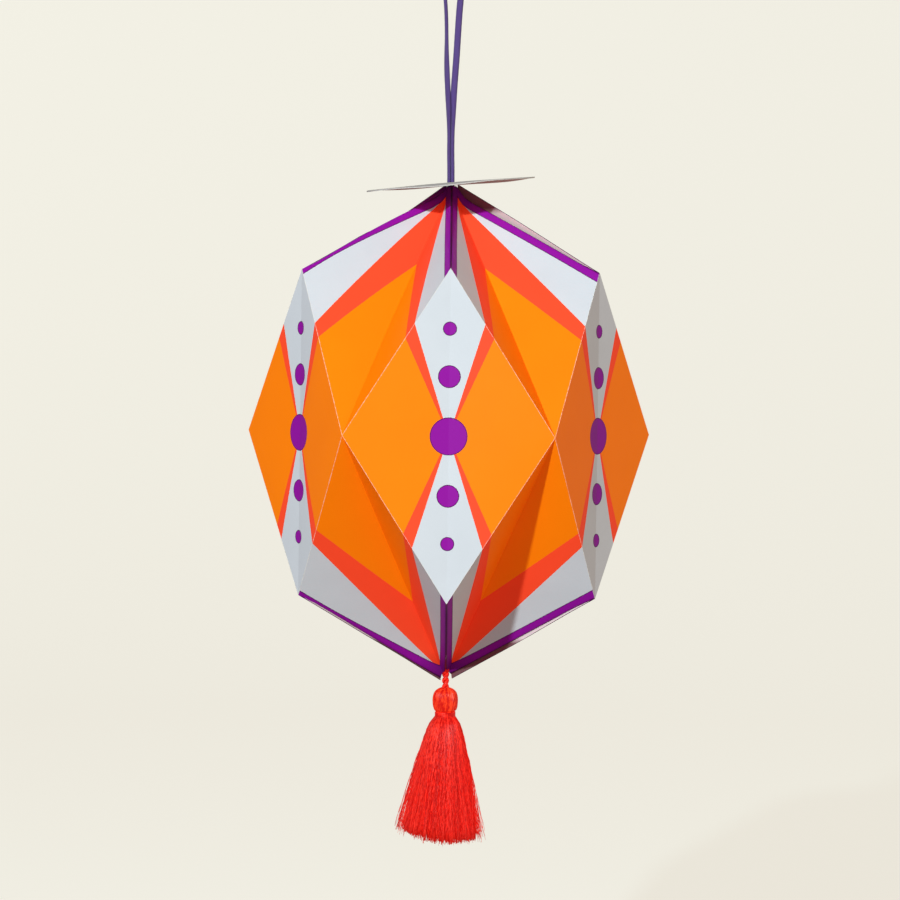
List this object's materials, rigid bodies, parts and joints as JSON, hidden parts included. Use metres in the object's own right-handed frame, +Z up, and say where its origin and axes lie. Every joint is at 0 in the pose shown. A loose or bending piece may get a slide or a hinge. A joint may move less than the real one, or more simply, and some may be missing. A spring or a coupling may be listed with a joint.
{
  "type": "origami lantern",
  "caption": "Hanging lantern folded from printed card, with pointed caps, a card disc on top, a lace loop to hang it by and a red thread tassel below.",
  "frame": {"origin": "where the top of the hanging loop bears on its hook", "axes": "+Z up along the lantern's axis, and a crease of the lantern facing -Y, the front"},
  "size_m": [0.2, 0.1734, 0.4639],
  "materials": {
    "card_white": "matt uncoated card",
    "print_orange": "printed ink on card, slight sheen",
    "print_red": "printed ink on card, slight sheen",
    "print_purple": "printed ink on card, slight sheen",
    "disc_card": "matt card",
    "lace_purple": "woven flat lace",
    "thread_red": "glossy rayon thread"
  },
  "bodies": {
    "root": {"paper_shell": "card_white", "print_orange": "print_orange", "print_red": "print_red", "print_purple": "print_purple", "print_dots": "print_purple", "top_disc": "disc_card", "hanging_cord": "lace_purple", "hanging_knot": "lace_purple", "tassel_cord": "thread_red", "tassel_knot": "thread_red", "tassel_head": "thread_red", "tassel_binding": "thread_red", "tassel_skirt": "thread_red"}
  },
  "joints": []
}
